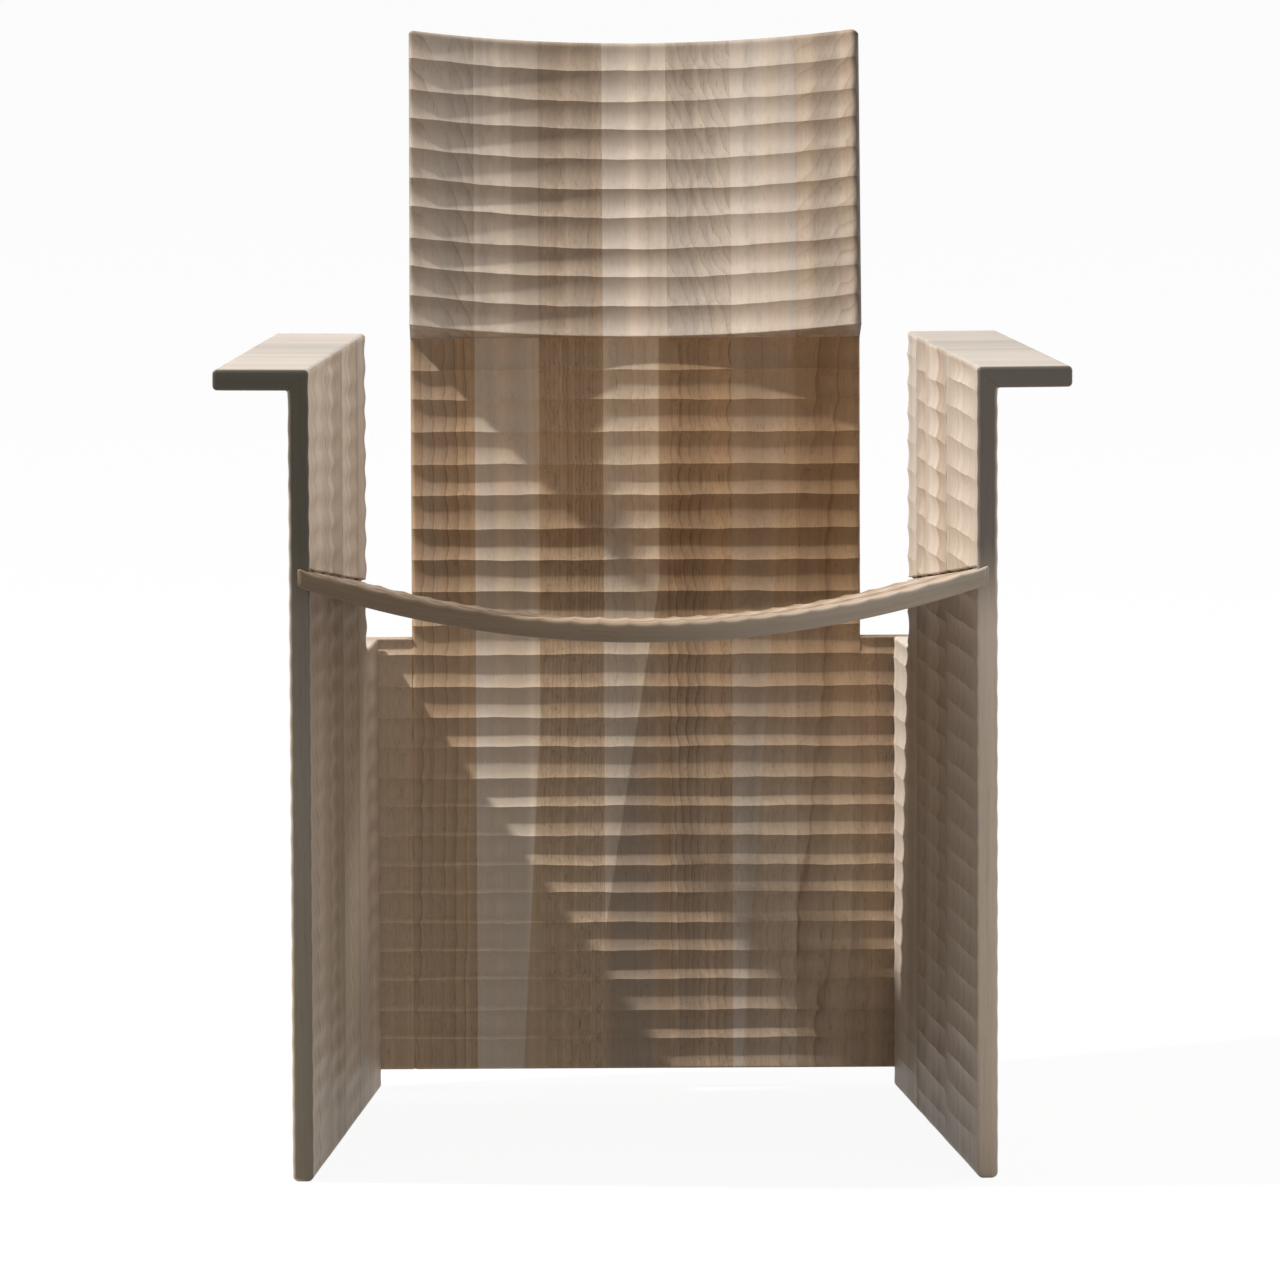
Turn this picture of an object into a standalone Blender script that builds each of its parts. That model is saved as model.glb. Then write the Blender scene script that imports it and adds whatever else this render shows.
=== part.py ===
"""Wooden armchair glued up from staves, with every broad face worked in rows by a gouge.

Two upright side panels toe in towards the rear and turn outwards at a mitre into flat arms. A dished seat
is let into them, a tall back board closes them behind and a hollowed headrest leans back on its top end.
Left and right are as seen from the front. X runs to the right, Y to the rear and Z up, in metres.
"""

import math

import bmesh
import bpy
from mathutils import Matrix, Vector

# Glue lines and hidden tongues
GLUE_GAP = 0.0003
TONGUE_THICKNESS = 0.0035
ARM_SPLINE_WIDTH = 0.010
HEAD_TONGUE_WIDTH = 0.030
BACK_TONGUE_WIDTH = 0.018
BACK_TONGUE_LENGTH = 0.300

# Side panels, measured along the panel from its front edge
BOARD = 0.017
SIDE_HALF_WIDTH = 0.266
SIDE_TOE_IN = math.radians(5.1)
SIDE_LENGTH = 0.441
SIDE_STAVES = 7
STEP_HEIGHT = 0.386
SIDE_ROW = 0.024
SIDE_GOUGE = 0.0015

# Arms
ARM_TOP = 0.652
ARM_WIDTH = 0.077
ARM_ROUND = 0.004

# Seat, an arc from side to side that slopes down to the rear
SEAT_HEIGHT = 0.449
SEAT_SAG = 0.042
SEAT_THICKNESS = 0.016
SEAT_SLOPE = math.radians(4.8)
SEAT_PROUD = 0.006
SEAT_HOUSING = 0.0095
SEAT_SLATS = 7
SEAT_ROW = 0.024
SEAT_GOUGE = 0.0015

# Back board
BACK_FACE = 0.529
BACK_THICKNESS = 0.021
BACK_WIDTH = 0.381
BACK_STAVES = 7
BACK_BOTTOM = 0.017
BACK_WING_OVERHANG = 0.0015
BACK_ROW = 0.026
BACK_GOUGE = 0.0022

# Headrest
HEAD_JOINT = 0.6415
HEAD_TILT = math.radians(15.5)
HEAD_LENGTH = 0.256
HEAD_PROUD = 0.008
HEAD_HOLLOW = 0.048
HEAD_ROW = 0.0255
HEAD_GOUGE = 0.0025

# Points on each hollow of a gouge row, and on each arc
FINE_STEPS = 3
COARSE_STEPS = 2
SEAT_ARC_STEPS = 18
ROUND_STEPS = 3

# Wood tones: base colour, and the roughness of the oiled surface
TONES = {
    "pale": (0.50, 0.40, 0.30),
    "tan": (0.40, 0.29, 0.20),
    "brown": (0.31, 0.21, 0.14),
    "dark": (0.22, 0.14, 0.09),
}
ROUGHNESS = 0.6
BACK_TONES = ("brown", "pale", "dark", "pale", "dark", "tan", "brown")
SIDE_TONES = ("tan", "pale", "tan", "brown", "pale", "tan", "pale")
SEAT_TONES = ("brown", "tan", "brown", "tan", "pale", "tan", "brown")


def clear_scene():
    for item in list(bpy.data.objects):
        bpy.data.objects.remove(item)


def new_collection(name):
    collection = bpy.data.collections.new(name)
    bpy.context.scene.collection.children.link(collection)
    return collection


def wood(name, tone):
    material = bpy.data.materials.new(name)
    material.use_nodes = True
    shader = material.node_tree.nodes["Principled BSDF"]
    shader.inputs["Base Color"].default_value = (*TONES[tone], 1.0)
    shader.inputs["Roughness"].default_value = ROUGHNESS
    shader.inputs["Metallic"].default_value = 0.0
    return material


def placed(across, up, origin):
    """The matrix of a frame at origin, whose x axis is across and whose y axis is up."""
    across = Vector(across)
    up = Vector(up)
    turn = Matrix((across, up, across.cross(up))).transposed()
    return Matrix.Translation(origin) @ turn.to_4x4()


def add_part(name, mesh, matrix, tone):
    part = bpy.data.objects.new(name, mesh)
    mesh.materials.append(wood(name, tone))
    PARTS.objects.link(part)
    part.parent = CHAIR
    part.matrix_basis = matrix
    return part


def add_cutter(name, mesh, matrix):
    cutter = bpy.data.objects.new(name, mesh)
    CUTTERS.objects.link(cutter)
    cutter.parent = CHAIR
    cutter.matrix_basis = matrix
    cutter.hide_render = True
    cutter.display_type = "WIRE"
    return cutter


def cut_by(part, cutter):
    modifier = part.modifiers.new(cutter.name, "BOOLEAN")
    modifier.operation = "DIFFERENCE"
    modifier.object = cutter


def extruded(name, points, thickness):
    """The mesh of a flat outline, extruded evenly to both sides of its plane."""
    curve = bpy.data.curves.new(name, "CURVE")
    curve.dimensions = "2D"
    curve.fill_mode = "BOTH"
    curve.extrude = thickness / 2
    spline = curve.splines.new("POLY")
    spline.points.add(len(points) - 1)
    for spot, (x, y) in zip(spline.points, points):
        spot.co = (x, y, 0.0, 1.0)
    spline.use_cyclic_u = True
    guide = bpy.data.objects.new(name, curve)
    bpy.context.scene.collection.objects.link(guide)
    graph = bpy.context.evaluated_depsgraph_get()
    mesh = bpy.data.meshes.new_from_object(guide.evaluated_get(graph))
    bpy.data.objects.remove(guide)
    bpy.data.curves.remove(curve)
    shape = bmesh.new()
    shape.from_mesh(mesh)
    bmesh.ops.remove_doubles(shape, verts=shape.verts, dist=GLUE_GAP / 10)
    bmesh.ops.recalc_face_normals(shape, faces=shape.faces)
    shape.to_mesh(mesh)
    shape.free()
    return mesh


def box(name, size):
    mesh = bpy.data.meshes.new(name)
    shape = bmesh.new()
    bmesh.ops.create_cube(shape, size=1.0, matrix=Matrix.Diagonal((*size, 1.0)))
    shape.to_mesh(mesh)
    shape.free()
    return mesh


def trim(mesh, matrix, point, normal):
    """Cuts the mesh flat at a plane of the chair's frame and drops what lies on the normal's side."""
    inverse = matrix.inverted()
    shape = bmesh.new()
    shape.from_mesh(mesh)
    everything = shape.verts[:] + shape.edges[:] + shape.faces[:]
    cut = bmesh.ops.bisect_plane(
        shape,
        geom=everything,
        plane_co=inverse @ Vector(point),
        plane_no=inverse.to_3x3() @ Vector(normal),
        clear_outer=True,
    )
    rim = [item for item in cut["geom_cut"] if isinstance(item, bmesh.types.BMEdge)]
    bmesh.ops.edgeloop_fill(shape, edges=rim)
    bmesh.ops.recalc_face_normals(shape, faces=shape.faces)
    shape.to_mesh(mesh)
    shape.free()


def gouged(start, end, row, depth, steps):
    """Places along a face with the depth cut there, for rows of hollows that meet in sharp ridges."""
    rows = max(1, round((end - start) / row))
    count = rows * steps
    cuts = []
    for index in range(count + 1):
        share = (index % steps) / steps
        cuts.append((start + (end - start) * index / count, depth * 4 * share * (1 - share)))
    return cuts


def arc_rise(x, half_chord, sag):
    """Height of a circular arc above its lowest point, at x from the middle."""
    radius = (half_chord**2 + sag**2) / (2 * sag)
    return radius - math.sqrt(radius**2 - x**2)


def notch(middle, along, into, depth):
    """Four corners of a tongue's groove in an edge, met in the direction of along."""
    half = along * (TONGUE_THICKNESS / 2 + GLUE_GAP)
    floor = into * (depth + GLUE_GAP)
    return [middle - half, middle - half + floor, middle + half + floor, middle + half]


def shares(count, length):
    """Start and end of each of count equal staves, with half a glue line taken off each edge."""
    width = length / count
    return [(index * width + GLUE_GAP / 2, (index + 1) * width - GLUE_GAP / 2) for index in range(count)]


def is_inner(index, count):
    """The first and last staves hide the ends of a tongue, so only those between have its groove."""
    return 0 < index < count - 1


# Side panels and arms

MITRE_DOWN = Vector((1.0, -1.0)).normalized()
MITRE_OUT = Vector((1.0, 1.0)).normalized()


def side_frame(sign, distance):
    """Frame of a side panel: x outwards from its inner face, y up, at a distance from its front edge."""
    outwards = Vector((sign * math.cos(SIDE_TOE_IN), math.sin(SIDE_TOE_IN), 0.0))
    rearwards = Vector((-sign * math.sin(SIDE_TOE_IN), math.cos(SIDE_TOE_IN), 0.0))
    front = Vector((sign * SIDE_HALF_WIDTH, 0.0, 0.0))
    return placed(outwards, (0.0, 0.0, 1.0), front + rearwards * distance)


def panel_faces(top):
    """Inner face from the top down, then outer face from the bottom up."""
    rows = gouged(0.0, top, SIDE_ROW, SIDE_GOUGE, COARSE_STEPS)
    inner = [Vector((cut, height)) for height, cut in reversed(rows)]
    outer = [Vector((BOARD - cut, height)) for height, cut in rows]
    return inner + outer


def side_stave_outline(grooved):
    drop = GLUE_GAP * math.sqrt(2)
    tip = Vector((0.0, ARM_TOP - drop))
    faces = panel_faces(ARM_TOP - BOARD - drop)
    middle = tip + MITRE_DOWN * BOARD / math.sqrt(2)
    groove = notch(middle, -MITRE_DOWN, -MITRE_OUT, ARM_SPLINE_WIDTH / 2) if grooved else []
    return [tip] + faces + groove


def arm_outline(grooved):
    tip = Vector((0.0, ARM_TOP))
    outer = []
    for end, start_angle in ((ARM_TOP - BOARD + ARM_ROUND, -math.pi / 2), (ARM_TOP - ARM_ROUND, 0.0)):
        for step in range(ROUND_STEPS + 1):
            angle = start_angle + math.pi / 2 * step / ROUND_STEPS
            reach = Vector((math.cos(angle), math.sin(angle))) * ARM_ROUND
            outer.append(Vector((ARM_WIDTH - ARM_ROUND, end)) + reach)
    heel = Vector((BOARD, ARM_TOP - BOARD))
    middle = (tip + heel) / 2
    groove = notch(middle, MITRE_DOWN, MITRE_OUT, ARM_SPLINE_WIDTH / 2) if grooved else []
    return [tip] + groove + [heel] + outer


def build_side(side, sign, housing):
    staves = shares(SIDE_STAVES, SIDE_LENGTH)
    for index, (start, end) in enumerate(staves):
        frame = side_frame(sign, (start + end) / 2)
        tone = SIDE_TONES[index % len(SIDE_TONES)]
        grooved = is_inner(index, SIDE_STAVES)
        stave_name = f"{side}_side_stave_{index + 1}"
        stave = extruded(stave_name, side_stave_outline(grooved), end - start)
        cut_by(add_part(stave_name, stave, frame, tone), housing)
        arm_name = f"{side}_arm_stave_{index + 1}"
        add_part(arm_name, extruded(arm_name, arm_outline(grooved), end - start), frame, tone)
    length = staves[-2][1] - staves[1][0]
    frame = side_frame(sign, (staves[-2][1] + staves[1][0]) / 2)
    mitre = Matrix.Translation((BOARD / 2, ARM_TOP - BOARD / 2, 0.0))
    across_mitre = Matrix.Rotation(math.pi / 4, 4, "Z")
    spline_name = f"{side}_arm_spline"
    spline = box(spline_name, (ARM_SPLINE_WIDTH, TONGUE_THICKNESS, length))
    add_part(spline_name, spline, frame @ mitre @ across_mitre, "brown")


# Rear staves of the side panels, the wings of the back board and the tongues between them


def build_rear_corner(side, sign):
    rear_end = BACK_FACE / math.cos(SIDE_TOE_IN)
    start = SIDE_LENGTH + GLUE_GAP / 2
    length = rear_end + BOARD - start
    frame = side_frame(sign, start + length / 2)
    stave_name = f"{side}_rear_stave"
    stave = extruded(stave_name, panel_faces(STEP_HEIGHT), length)
    trim(stave, frame, (0.0, BACK_FACE - GLUE_GAP, 0.0), (0.0, 1.0, 0.0))
    stave = add_part(stave_name, stave, frame, "tan")

    panel_face = SIDE_HALF_WIDTH - BACK_FACE * math.tan(SIDE_TOE_IN)
    panel_width = BOARD / math.cos(SIDE_TOE_IN)
    wing_start = BACK_WIDTH / 2 + GLUE_GAP / 2
    wing_end = panel_face + panel_width + BACK_WING_OVERHANG
    wing_name = f"{side}_back_wing"
    wing = extruded(wing_name, back_outline(STEP_HEIGHT, STEP_HEIGHT, []), wing_end - wing_start)
    wing = add_part(wing_name, wing, back_frame(sign * (wing_start + wing_end) / 2), "brown")

    height = (BACK_BOTTOM + STEP_HEIGHT) / 2
    spot = Matrix.Translation((sign * (panel_face + panel_width / 2), BACK_FACE, height))
    tongue_name = f"{side}_back_tongue"
    size = Vector((TONGUE_THICKNESS, BACK_TONGUE_WIDTH, BACK_TONGUE_LENGTH))
    add_part(tongue_name, box(tongue_name, size), spot, "brown")
    room = Vector((2 * GLUE_GAP, 2 * GLUE_GAP, 2 * GLUE_GAP))
    groove = add_cutter(f"{side}_back_groove", box(f"{side}_back_groove", size + room), spot)
    cut_by(stave, groove)
    cut_by(wing, groove)


# Seat


def seat_frame(distance):
    """Frame of the seat: x to the right, y square to the seat, at a distance down its slope."""
    up = (0.0, math.sin(SEAT_SLOPE), math.cos(SEAT_SLOPE))
    down = Vector((0.0, math.cos(SEAT_SLOPE), -math.sin(SEAT_SLOPE)))
    front = Vector((0.0, 0.0, SEAT_HEIGHT))
    return placed((1.0, 0.0, 0.0), up, front + down * distance)


def seat_outline(depth, clearance):
    """Top of the seat with gouges of this depth, over a plain arc, grown by a clearance on both faces."""
    reach = SIDE_HALF_WIDTH + BOARD
    top = []
    for x, cut in gouged(-reach, reach, SEAT_ROW, depth, COARSE_STEPS):
        top.append((x, arc_rise(x, SIDE_HALF_WIDTH, SEAT_SAG) - cut + clearance))
    under = []
    for index in range(SEAT_ARC_STEPS + 1):
        x = reach - 2 * reach * index / SEAT_ARC_STEPS
        under.append((x, arc_rise(x, SIDE_HALF_WIDTH, SEAT_SAG) - SEAT_THICKNESS - clearance))
    return top + under


def fit_between_sides(mesh, frame, depth):
    """Trims both ends of a seat shape at a depth inside the side panels."""
    for sign in (-1, 1):
        panel = side_frame(sign, 0.0)
        outwards = panel.to_3x3().col[0]
        trim(mesh, frame, panel.translation + outwards * depth, outwards)


def seat_length():
    return SIDE_LENGTH * math.cos(SIDE_TOE_IN) / math.cos(SEAT_SLOPE) + SEAT_PROUD


def build_housing():
    """Cutter for the grooves that hold the ends of the seat, longer than the panels."""
    frame = seat_frame(seat_length() / 2)
    mesh = extruded("seat_housing", seat_outline(0.0, GLUE_GAP), seat_length() + 2 * BOARD)
    fit_between_sides(mesh, frame, SEAT_HOUSING)
    return add_cutter("seat_housing", mesh, frame)


def build_seat():
    for index, (start, end) in enumerate(shares(SEAT_SLATS, seat_length())):
        frame = seat_frame((start + end) / 2 - SEAT_PROUD)
        name = f"seat_slat_{index + 1}"
        mesh = extruded(name, seat_outline(SEAT_GOUGE, 0.0), end - start)
        fit_between_sides(mesh, frame, SEAT_HOUSING - GLUE_GAP)
        add_part(name, mesh, frame, SEAT_TONES[index % len(SEAT_TONES)])


# Back board and headrest

HEAD_REAR = Vector((math.cos(HEAD_TILT), -math.sin(HEAD_TILT)))
HEAD_UP = Vector((math.sin(HEAD_TILT), math.cos(HEAD_TILT)))
HEAD_SEAT = BACK_THICKNESS / math.cos(HEAD_TILT)


def back_frame(x):
    """Frame of the back board: x to the rear from its front face, y up."""
    return placed((0.0, 1.0, 0.0), (0.0, 0.0, 1.0), (x, BACK_FACE, 0.0))


def back_outline(front_top, rear_top, groove):
    front = gouged(BACK_BOTTOM, front_top, BACK_ROW, BACK_GOUGE, FINE_STEPS)
    rear = gouged(BACK_BOTTOM, rear_top, BACK_ROW, BACK_GOUGE, COARSE_STEPS)
    front_points = [Vector((cut, height)) for height, cut in front]
    rear_points = [Vector((BACK_THICKNESS - cut, height)) for height, cut in reversed(rear)]
    return front_points + groove + rear_points


def back_stave_outline(grooved):
    front_end = Vector((0.0, HEAD_JOINT))
    rear_end = front_end + HEAD_REAR * HEAD_SEAT
    middle = (front_end + rear_end) / 2
    groove = notch(middle, HEAD_REAR, -HEAD_UP, HEAD_TONGUE_WIDTH / 2) if grooved else []
    return back_outline(front_end.y, rear_end.y, groove)


def head_frame(x):
    """Frame of the headrest: x to the rear and y up its slope, from the front edge of the joint."""
    rear = (0.0, *HEAD_REAR)
    up = Vector((0.0, *HEAD_UP))
    joint = Vector((x, BACK_FACE, HEAD_JOINT))
    return placed(rear, up, joint + up * GLUE_GAP)


def head_outline(grooved):
    front = gouged(0.0, HEAD_LENGTH, HEAD_ROW, HEAD_GOUGE, FINE_STEPS)
    rear = gouged(0.0, HEAD_LENGTH, HEAD_ROW, HEAD_GOUGE, COARSE_STEPS)
    front_points = [Vector((cut - HEAD_PROUD, height)) for height, cut in reversed(front)]
    rear_points = [Vector((HEAD_SEAT - cut, height)) for height, cut in rear]
    middle = Vector((HEAD_SEAT / 2, 0.0))
    groove = notch(middle, Vector((1.0, 0.0)), Vector((0.0, 1.0)), HEAD_TONGUE_WIDTH / 2) if grooved else []
    return front_points + groove + rear_points


def hollow_front(mesh, centre):
    """Brings the front face forward towards the sides of the headrest."""
    for corner in mesh.vertices:
        if corner.co.x < 0.0:
            corner.co.x -= arc_rise(centre + corner.co.z, BACK_WIDTH / 2, HEAD_HOLLOW)


def build_back():
    staves = shares(BACK_STAVES, BACK_WIDTH)
    for index, (start, end) in enumerate(staves):
        centre = (start + end - BACK_WIDTH) / 2
        tone = BACK_TONES[index % len(BACK_TONES)]
        grooved = is_inner(index, BACK_STAVES)
        back_name = f"back_stave_{index + 1}"
        back = extruded(back_name, back_stave_outline(grooved), end - start)
        add_part(back_name, back, back_frame(centre), tone)
        head_name = f"headrest_stave_{index + 1}"
        head = extruded(head_name, head_outline(grooved), end - start)
        hollow_front(head, centre)
        add_part(head_name, head, head_frame(centre), tone)
    length = staves[-2][1] - staves[1][0]
    tongue = box("headrest_tongue", (TONGUE_THICKNESS, HEAD_TONGUE_WIDTH, length))
    joint_middle = head_frame(0.0) @ Matrix.Translation((HEAD_SEAT / 2, 0.0, 0.0))
    add_part("headrest_tongue", tongue, joint_middle, "brown")


def middle_of_depth():
    """Half way from the front edge of the seat to the rear edge of the headrest's top."""
    front = -SEAT_PROUD * math.cos(SEAT_SLOPE) - SEAT_THICKNESS * math.sin(SEAT_SLOPE)
    top_rear = Vector((BACK_FACE, HEAD_JOINT)) + HEAD_UP * (HEAD_LENGTH + GLUE_GAP) + HEAD_REAR * HEAD_SEAT
    return (front + top_rear.x) / 2


clear_scene()
PARTS = new_collection("armchair")
CUTTERS = new_collection("cutters")
CHAIR = bpy.data.objects.new("armchair_origin", None)
CHAIR.location = (0.0, -middle_of_depth(), 0.0)
PARTS.objects.link(CHAIR)

housing = build_housing()
for side, sign in (("left", -1), ("right", 1)):
    build_side(side, sign, housing)
    build_rear_corner(side, sign)
build_seat()
build_back()
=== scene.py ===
"""Scene of the gouged wooden armchair: carved staves with their grain, a pale floor, soft light and a camera.

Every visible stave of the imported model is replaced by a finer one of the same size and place. A stave's own
frame has x across the grain, y along it and z out of its front face, so one wood material serves them all.
Left and right are as seen from the front. X runs to the right, Y to the rear and Z up, in metres.
"""

import math
from dataclasses import dataclass, replace

import bmesh
import bpy
import numpy as np
from mathutils import Euler, Matrix, Vector


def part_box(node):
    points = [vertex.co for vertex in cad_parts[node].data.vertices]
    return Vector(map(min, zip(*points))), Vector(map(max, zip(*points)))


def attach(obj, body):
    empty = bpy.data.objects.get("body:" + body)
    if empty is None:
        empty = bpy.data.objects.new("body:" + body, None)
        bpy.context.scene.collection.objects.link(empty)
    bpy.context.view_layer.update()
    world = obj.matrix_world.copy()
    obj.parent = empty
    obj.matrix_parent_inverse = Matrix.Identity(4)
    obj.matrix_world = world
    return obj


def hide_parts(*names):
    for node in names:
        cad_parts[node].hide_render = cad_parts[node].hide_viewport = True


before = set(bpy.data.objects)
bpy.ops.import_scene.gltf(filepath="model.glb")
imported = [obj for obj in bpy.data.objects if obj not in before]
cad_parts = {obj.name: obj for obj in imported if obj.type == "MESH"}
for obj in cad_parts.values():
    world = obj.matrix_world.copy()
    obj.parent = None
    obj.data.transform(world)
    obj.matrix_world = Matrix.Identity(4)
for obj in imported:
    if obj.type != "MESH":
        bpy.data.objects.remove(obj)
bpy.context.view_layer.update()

# Sizes of the chair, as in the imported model
BOARD = 0.017
SIDE_HALF_WIDTH = 0.266
SIDE_TOE_IN = math.radians(5.1)
SIDE_LENGTH = 0.441
SIDE_STAVES = 7
STEP_HEIGHT = 0.386
ARM_TOP = 0.652
ARM_WIDTH = 0.077
SEAT_HEIGHT = 0.449
SEAT_SAG = 0.042
SEAT_THICKNESS = 0.016
SEAT_SLOPE = math.radians(4.8)
SEAT_PROUD = 0.006
SEAT_END_DEPTH = 0.0092
SEAT_SLATS = 7
BACK_FACE = 0.529
BACK_THICKNESS = 0.021
BACK_WIDTH = 0.381
BACK_STAVES = 7
BACK_BOTTOM = 0.017
BACK_WING_OVERHANG = 0.0015
HEAD_JOINT = 0.6415
HEAD_TILT = math.radians(15.5)
HEAD_LENGTH = 0.256
HEAD_PROUD = 0.008
HEAD_HOLLOW = 0.048
HEAD_SEAT = BACK_THICKNESS / math.cos(HEAD_TILT)

# Heights of the joint under the headrest, at the front and at the rear
HEAD_JOINTS = (HEAD_JOINT, HEAD_JOINT - BACK_THICKNESS * math.tan(HEAD_TILT))

# Gouge cuts: pitch of the rows and depth of their hollows
SIDE_ROW = 0.024
SIDE_GOUGE = {"left": 0.0022, "right": 0.0027}
OUTER_GOUGE = 0.0020
SEAT_ROW = 0.024
SEAT_GOUGE = 0.0011
BACK_ROW = 0.026
BACK_GOUGE = 0.0034
HEAD_ROW = 0.0255
HEAD_GOUGE = 0.0037

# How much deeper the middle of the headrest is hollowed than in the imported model
HEAD_DEEPER = 0.0035

# How far rows are out of true: the width of a row as a share of the pitch, the middle rows of the back board
# as a share of its height, and the line of a ridge
ROW_UNEVEN = 0.03
BACK_SINK = 0.017
RIDGE_WANDER = 0.0008

# How uneven the depth of the hollows is from row to row and along a row, as shares of the depth
ROW_DEPTH_UNEVEN = 0.10
LINE_DEPTH_UNEVEN = 0.08

# Turns by which that unevenness differs from row to row, from seed to seed and from scoop to scoop
WIDTH_TURN = 2.4
WIDTH_SEED_TURN = 1.7
RIDGE_TURN = 0.61
DEPTH_TURN = 3.1
LINE_TURN = 1.9
SCOOP_TURN = 2.2
SIDE_TURN = 1.1
FIRST_TURN = 0.4

# A last row that would be lower than this share of the pitch is left out
LEAST_ROW = 0.3

# Scoops of the side panels: how many staves each one spans from the front, the shift of its rows, how much it
# loses at its two ends, how far the last one runs over the rear end and its share of the depth, and the share
# of the depth at the floor with the number of rows over which it grows to the whole
SIDE_SCOOPS = {"left": (2, 2, 2, 2), "right": (3, 2, 1, 2)}
SIDE_SHIFT = {"left": 0.40, "right": 0.25}
SIDE_CUP = 0.85
SIDE_OVERRUN = 0.18
REAR_SCOOP_SHARE = 0.58
SIDE_LEAST = 0.60
SIDE_FADE = 12

# Seeds of the rows on the two faces of a board, and of the woods
SIDE_ROW_SEED = 10
OUTER_ROW_SEED = 31
SEAT_ROW_SEEDS = (3, 4)
BACK_ROW_SEEDS = (11, 12)
HEAD_ROW_SEEDS = (21, 22)
SIDE_SEED = 10
ARM_SEED = 80
RIGHT_SEED = 8
REAR_SEED = 50
SEAT_SEED = 60
BACK_SEED = 100
HEAD_SEED = 120
WING_SEED = 140
TONGUE_SEED = 160

# Rounded edges
SIDE_ROUND = 0.0030
FOOT_ROUND = 0.0050
ARM_ROUND = 0.0038
ARM_FILLET = 0.0018
SEAT_ROUND = 0.0030
BACK_ROUND = 0.0020
BACK_LEFT_ROUND = 0.0038
LEFT_JOINT_ROUND = 0.6
HEAD_ROUND = 0.0045
HEAD_LEFT_ROUND = 0.0042
HEAD_RIGHT_ROUND = 0.0070
HEAD_UNDER_ROUND = 0.0015

# Gap left in the side panels above the seat
SLOT_HEIGHT = 0.0022
SLOT_DEPTH = 0.0045
SLOT_START = 0.004
SLOT_STEP = 0.00045

# Places on a hollow, as shares of its row, and on a rounded edge, as shares of its radius
ROW_STEPS = (0.0, 0.05, 0.16, 0.29, 0.43, 0.57, 0.71, 0.84, 0.95)
ROUND_STEPS = (0.0, 0.076, 0.293, 0.617, 1.0)
MITRE_SHARE = 1.0 - math.sqrt(0.5)
MITRE_STEPS = (0.0, 0.324, 0.707)

# Width of a face's columns, and their number on a rear stave
ACROSS_STEP = 0.005
REAR_COLUMNS = 19

# Added places on a face stay this far from a ridge, and this far from other places, as shares of a row
RIDGE_CLEAR = 0.01
PLACE_CLEAR = 0.008

# Points closer than this are joined, and shorter edges are dissolved
WELD = 1e-6
LEAST_EDGE = 1e-7

UP = Vector((0.0, 0.0, 1.0))
RIGHT = Vector((1.0, 0.0, 0.0))

# How much a ridge is rubbed lighter, as wear and as a painted highlight, against a rounded edge
RIDGE_WEAR_AND_HIGHLIGHT = 0.3

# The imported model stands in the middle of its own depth
CHAIR_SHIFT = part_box("back_stave_4")[0].y - BACK_FACE


def arc_rise(x, half_chord, sag):
    """Height of a circular arc above its lowest point, at x from the middle."""
    radius = (half_chord**2 + sag**2) / (2 * sag)
    return radius - np.sqrt(radius**2 - x**2)


def wobble(places, seed):
    """A smooth unevenness between about -1 and 1 along a line, different for each seed."""
    total = np.zeros_like(places)
    for share, length, turn in ((0.50, 0.190, 2.4), (0.30, 0.071, 5.1), (0.20, 0.029, 8.7)):
        total += share * np.sin(2 * math.pi * places / length + turn * seed)
    return total


@dataclass
class Rows:
    """Rows of gouge cuts along a face: ridges that wander a little, and a hollow between each two.

    low and high are the ends of the face, as a place or as a function of the place across. Where stop is
    given, the rows keep the pitch they have up to high and the face ends at stop. span gives the two places
    across between which a hollow is one scoop, shallower at its ends and near the floor. Soft rows have
    rounded ridges. sink is how far the middle ridges lie below an even spacing, as a share of the length.
    """

    low: object
    high: object
    pitch: float
    depth: float
    seed: int
    shift: float = 0.0
    span: tuple = ()
    stop: object = None
    count: int = 0
    soft: bool = False
    sink: float = 0.0

    def __post_init__(self):
        self.full_high = self.high
        self.full_count = self.count or max(1, round(self.length() / self.pitch))
        self.count = self.full_count
        if self.stop is not None:
            middle = np.zeros(1)
            ridges = [float(self.ridge(index, middle)[0]) for index in range(1, self.full_count)]
            self.count = 1 + sum(place < self.stop - LEAST_ROW * self.pitch for place in ridges)
            self.high = self.stop

    def length(self):
        middle = np.zeros(1)
        return float((end_of(self.high, middle) - end_of(self.low, middle))[0])

    def ridge(self, index, across):
        """Where a ridge runs, at places across the panel. The first and last are the ends of the face."""
        low = end_of(self.low, across)
        if index == 0:
            return low
        if index == self.count:
            return end_of(self.high, across)
        uneven = ROW_UNEVEN * math.sin(WIDTH_TURN * index + WIDTH_SEED_TURN * self.seed)
        share = (index + self.shift + uneven) / self.full_count
        share -= self.sink * math.sin(math.pi * share) ** 2
        straight = low + (end_of(self.full_high, across) - low) * share
        return straight + RIDGE_WANDER * wobble(across, self.seed + RIDGE_TURN * index)

    def hollow(self, index, across):
        """Depth of a hollow at its deepest, at places across the panel."""
        uneven = 1.0 + ROW_DEPTH_UNEVEN * math.sin(DEPTH_TURN * index + self.seed)
        uneven = uneven + LINE_DEPTH_UNEVEN * wobble(across, self.seed + LINE_TURN * index)
        if self.span:
            start, end = self.span
            uneven *= 1.0 - SIDE_CUP * (2.0 * (across - start) / (end - start) - 1.0) ** 2
            uneven *= min(1.0, SIDE_LEAST + (1.0 - SIDE_LEAST) * index / SIDE_FADE)
        return self.depth * uneven

    def bowl(self, share):
        """Share of a hollow's depth at a place between its two ridges."""
        return math.sin(math.pi * share) ** 2 if self.soft else 4 * share * (1 - share)


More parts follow.
